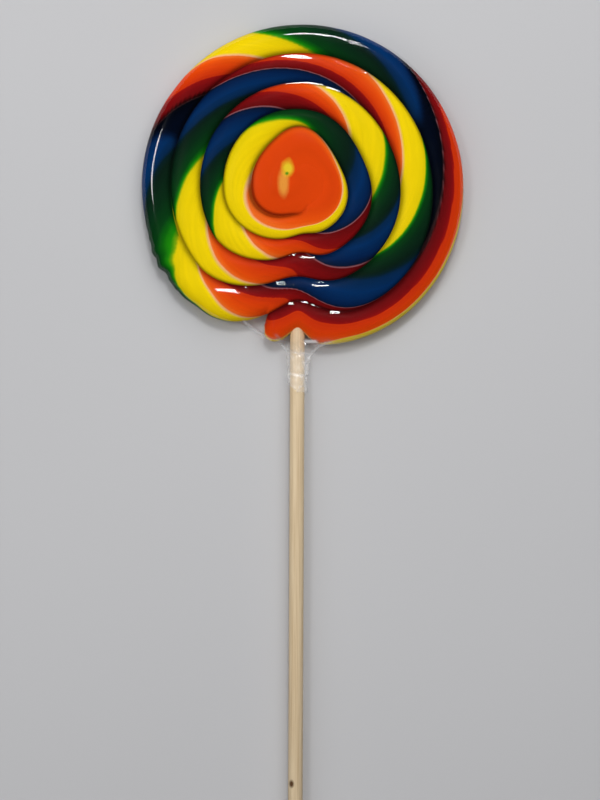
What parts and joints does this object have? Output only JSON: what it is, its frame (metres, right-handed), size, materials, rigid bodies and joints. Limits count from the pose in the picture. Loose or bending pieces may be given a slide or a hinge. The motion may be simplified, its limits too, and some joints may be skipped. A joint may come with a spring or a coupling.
{
  "type": "swirl lollipop",
  "caption": "Large flat round lollipop coiled from a striped boiled sugar rope, in clear film, on a round wooden stick; lies on its back.",
  "frame": {"origin": "under the middle of the disc, on the surface that the lollipop lies on", "axes": "+Z out of the shown face, -Y along the stick away from the disc, +X to the right when the shown face is seen with the stick pointing down"},
  "size_m": [0.1333, 0.355, 0.0116],
  "materials": {
    "candy": "glossy boiled sugar in yellow, orange, red, blue and green strands",
    "stick": "bare pale wood with a fine lengthwise grain",
    "film": "thin clear shrink film, glossy, wrinkled at the neck"
  },
  "bodies": {
    "root": {"candy": "candy", "stick": "stick", "film": "film"}
  },
  "joints": []
}
